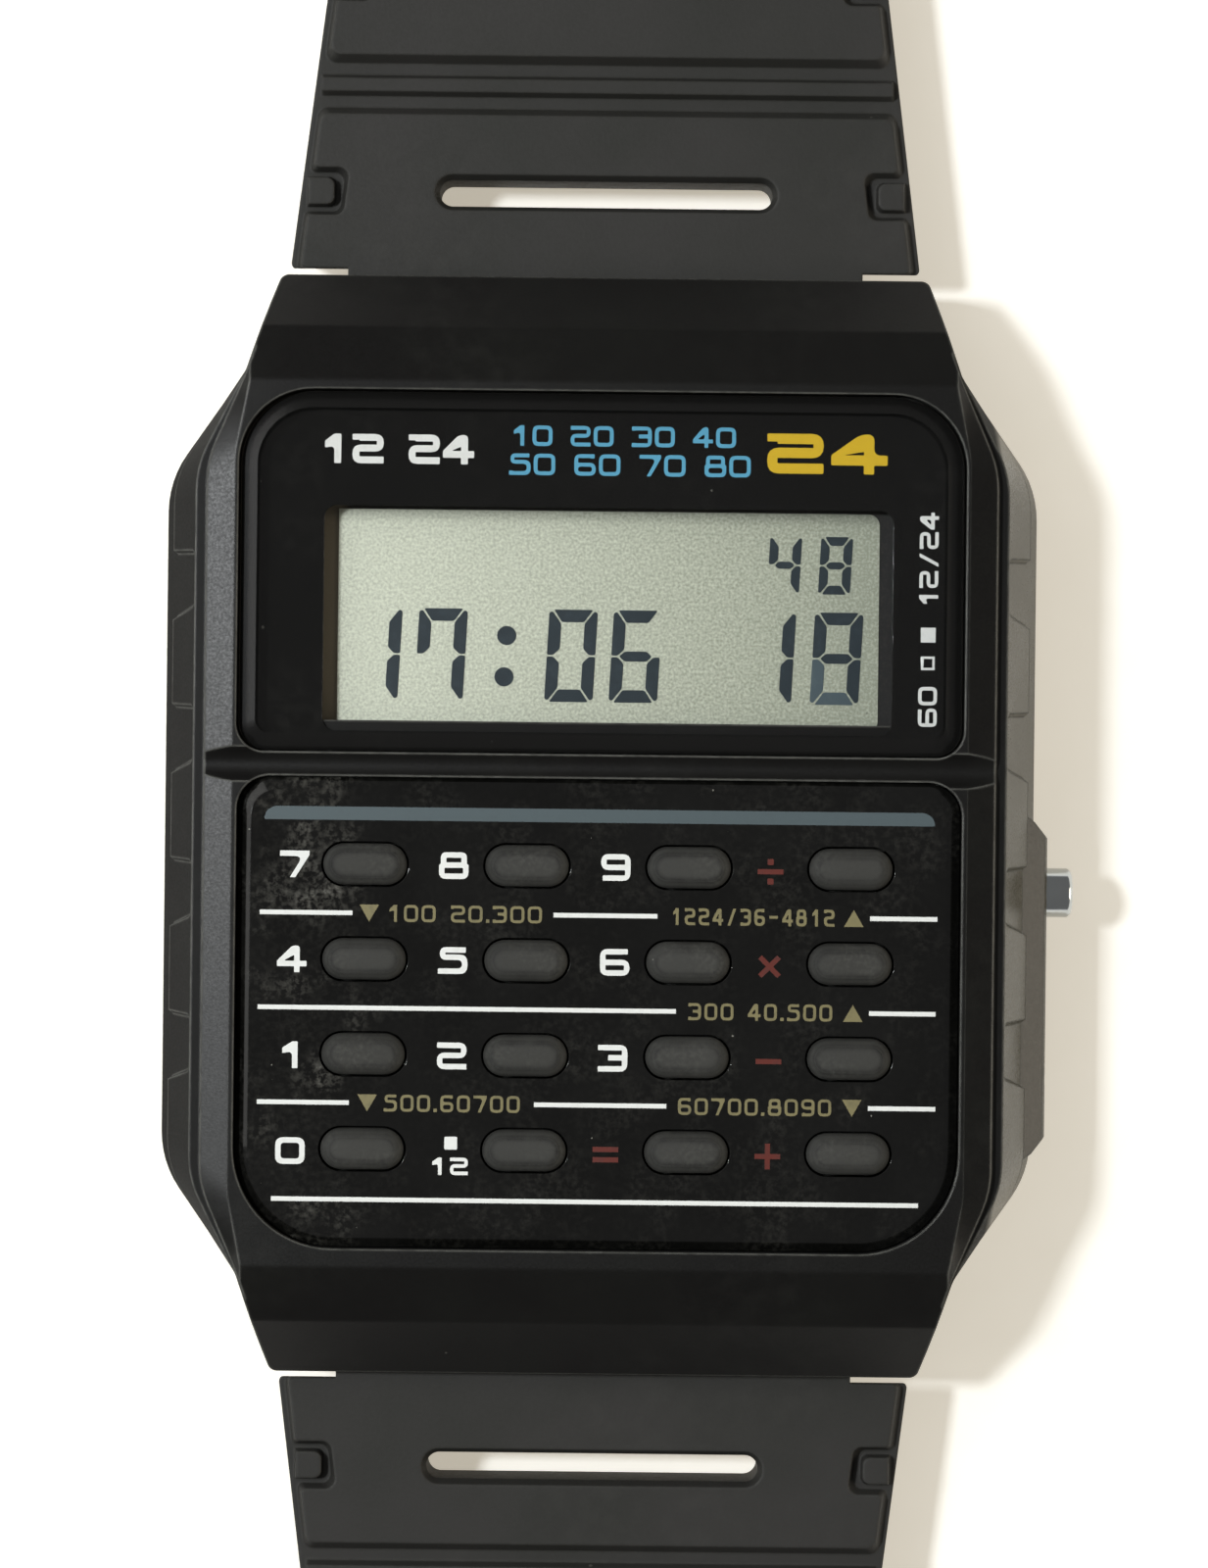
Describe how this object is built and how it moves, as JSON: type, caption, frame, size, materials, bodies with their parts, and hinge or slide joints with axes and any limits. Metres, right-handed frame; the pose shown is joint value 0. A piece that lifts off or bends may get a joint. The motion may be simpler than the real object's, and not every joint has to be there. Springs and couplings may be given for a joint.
{
  "type": "calculator watch",
  "caption": "Digital wristwatch with a keypad for sums under its display, in a black resin case on a slotted resin strap with a prong buckle, laid open.",
  "frame": {"origin": "centre of the case back's outer face", "axes": "+X towards three o'clock, +Y towards twelve o'clock along the strap, +Z out of the dial"},
  "size_m": [0.036, 0.2314, 0.0082],
  "materials": {
    "case_resin": "satin moulded black resin",
    "clear_acrylic": "clear polished acrylic",
    "printed_film": "black printed film",
    "gloss_panel": "gloss black acrylic with printed marks",
    "key_rubber": "dark grey moulded silicone rubber",
    "board": "green glass-epoxy board",
    "display_glass": "grey-green liquid crystal display",
    "reflector_foil": "satin foil",
    "connector_rubber": "striped conductive rubber",
    "module_plastic": "moulded grey plastic",
    "chip_epoxy": "black epoxy",
    "can_metal": "plated can",
    "spring_steel": "bright spring steel",
    "screw_steel": "plain steel",
    "cell_steel": "stamped stainless steel",
    "buzzer_brass": "plain brass and ceramic",
    "seal_rubber": "black nitrile rubber",
    "back_steel": "brushed stainless steel",
    "polished_steel": "polished stainless steel",
    "strap_resin": "matte charcoal resin"
  },
  "bodies": {
    "case": {"case_shell": "case_resin", "display_lens": "clear_acrylic", "display_mask": "printed_film", "keypad_plate": "gloss_panel", "key_mat": "key_rubber", "key_contact_board": "board", "circuit_board": "board", "lcd_panel": "display_glass", "lcd_reflector": "reflector_foil", "zebra_strips": "connector_rubber", "module_front_frame": "module_plastic", "module_rear_frame": "module_plastic", "controller_chip": "chip_epoxy", "quartz_can": "can_metal", "battery_contact": "spring_steel", "switch_contacts": "spring_steel", "buzzer_spring": "spring_steel", "battery_clamp": "spring_steel", "mode_pusher_spring": "spring_steel", "adjust_pusher_spring": "spring_steel", "module_screws": "screw_steel", "case_back_screws": "screw_steel", "battery": "cell_steel", "buzzer_disc": "buzzer_brass", "case_gasket": "seal_rubber", "pusher_gaskets": "seal_rubber", "case_back": "back_steel", "spring_bar_12": "polished_steel", "spring_bar_6": "polished_steel"},
    "key_7": {"key_7": "key_rubber"},
    "key_8": {"key_8": "key_rubber"},
    "key_9": {"key_9": "key_rubber"},
    "key_divide": {"key_divide": "key_rubber"},
    "key_4": {"key_4": "key_rubber"},
    "key_5": {"key_5": "key_rubber"},
    "key_6": {"key_6": "key_rubber"},
    "key_times": {"key_times": "key_rubber"},
    "key_1": {"key_1": "key_rubber"},
    "key_2": {"key_2": "key_rubber"},
    "key_3": {"key_3": "key_rubber"},
    "key_minus": {"key_minus": "key_rubber"},
    "key_0": {"key_0": "key_rubber"},
    "key_point": {"key_point": "key_rubber"},
    "key_equals": {"key_equals": "key_rubber"},
    "key_plus": {"key_plus": "key_rubber"},
    "mode_pusher": {"mode_pusher": "polished_steel", "mode_pusher_clip": "spring_steel"},
    "adjust_pusher": {"adjust_pusher": "polished_steel", "adjust_pusher_clip": "spring_steel"},
    "strap_12_half": {"strap_12": "strap_resin"},
    "strap_6_half": {"strap_6": "strap_resin"},
    "buckle": {"buckle_frame": "strap_resin", "buckle_pin": "polished_steel"},
    "prong": {"buckle_prong": "polished_steel"},
    "keeper": {"keeper_loop": "strap_resin"}
  },
  "joints": [
    {"name": "key_7_press", "type": "slide", "parent": "case", "child": "key_7", "axis": [0, 0, -1], "range_m": [0, 0.0004], "stiffness_N_per_m": 600, "springref_m": -0.0003},
    {"name": "key_8_press", "type": "slide", "parent": "case", "child": "key_8", "axis": [0, 0, -1], "range_m": [0, 0.0004], "stiffness_N_per_m": 600, "springref_m": -0.0003},
    {"name": "key_9_press", "type": "slide", "parent": "case", "child": "key_9", "axis": [0, 0, -1], "range_m": [0, 0.0004], "stiffness_N_per_m": 600, "springref_m": -0.0003},
    {"name": "key_divide_press", "type": "slide", "parent": "case", "child": "key_divide", "axis": [0, 0, -1], "range_m": [0, 0.0004], "stiffness_N_per_m": 600, "springref_m": -0.0003},
    {"name": "key_4_press", "type": "slide", "parent": "case", "child": "key_4", "axis": [0, 0, -1], "range_m": [0, 0.0004], "stiffness_N_per_m": 600, "springref_m": -0.0003},
    {"name": "key_5_press", "type": "slide", "parent": "case", "child": "key_5", "axis": [0, 0, -1], "range_m": [0, 0.0004], "stiffness_N_per_m": 600, "springref_m": -0.0003},
    {"name": "key_6_press", "type": "slide", "parent": "case", "child": "key_6", "axis": [0, 0, -1], "range_m": [0, 0.0004], "stiffness_N_per_m": 600, "springref_m": -0.0003},
    {"name": "key_times_press", "type": "slide", "parent": "case", "child": "key_times", "axis": [0, 0, -1], "range_m": [0, 0.0004], "stiffness_N_per_m": 600, "springref_m": -0.0003},
    {"name": "key_1_press", "type": "slide", "parent": "case", "child": "key_1", "axis": [0, 0, -1], "range_m": [0, 0.0004], "stiffness_N_per_m": 600, "springref_m": -0.0003},
    {"name": "key_2_press", "type": "slide", "parent": "case", "child": "key_2", "axis": [0, 0, -1], "range_m": [0, 0.0004], "stiffness_N_per_m": 600, "springref_m": -0.0003},
    {"name": "key_3_press", "type": "slide", "parent": "case", "child": "key_3", "axis": [0, 0, -1], "range_m": [0, 0.0004], "stiffness_N_per_m": 600, "springref_m": -0.0003},
    {"name": "key_minus_press", "type": "slide", "parent": "case", "child": "key_minus", "axis": [0, 0, -1], "range_m": [0, 0.0004], "stiffness_N_per_m": 600, "springref_m": -0.0003},
    {"name": "key_0_press", "type": "slide", "parent": "case", "child": "key_0", "axis": [0, 0, -1], "range_m": [0, 0.0004], "stiffness_N_per_m": 600, "springref_m": -0.0003},
    {"name": "key_point_press", "type": "slide", "parent": "case", "child": "key_point", "axis": [0, 0, -1], "range_m": [0, 0.0004], "stiffness_N_per_m": 600, "springref_m": -0.0003},
    {"name": "key_equals_press", "type": "slide", "parent": "case", "child": "key_equals", "axis": [0, 0, -1], "range_m": [0, 0.0004], "stiffness_N_per_m": 600, "springref_m": -0.0003},
    {"name": "key_plus_press", "type": "slide", "parent": "case", "child": "key_plus", "axis": [0, 0, -1], "range_m": [0, 0.0004], "stiffness_N_per_m": 600, "springref_m": -0.0003},
    {"name": "mode_press", "type": "slide", "parent": "case", "child": "mode_pusher", "axis": [-1, 0, 0], "range_m": [0, 0.0006], "stiffness_N_per_m": 900, "springref_m": -0.0005, "deforming": ["mode_pusher_spring"]},
    {"name": "adjust_press", "type": "slide", "parent": "case", "child": "adjust_pusher", "axis": [-1, 0, 0], "range_m": [0, 0.0006], "stiffness_N_per_m": 900, "springref_m": -0.0005, "deforming": ["adjust_pusher_spring"]},
    {"name": "strap_12_swing", "type": "hinge", "parent": "case", "child": "strap_12_half", "pos_m": [0, 0.0196, 0.0028], "axis": [-1, 0, 0], "range_deg": [-8, 85]},
    {"name": "strap_6_swing", "type": "hinge", "parent": "case", "child": "strap_6_half", "pos_m": [0, -0.0196, 0.0028], "axis": [1, 0, 0], "range_deg": [-8, 85]},
    {"name": "buckle_swing", "type": "hinge", "parent": "strap_12_half", "child": "buckle", "pos_m": [0, 0.0856, 0.00245], "axis": [1, 0, 0], "range_deg": [-70, 70]},
    {"name": "prong_swing", "type": "hinge", "parent": "buckle", "child": "prong", "pos_m": [0, 0.0856, 0.00245], "axis": [1, 0, 0], "range_deg": [0, 75]},
    {"name": "keeper_slide", "type": "slide", "parent": "strap_12_half", "child": "keeper", "axis": [0, 1, 0], "range_m": [-0.014, 0.004]}
  ]
}
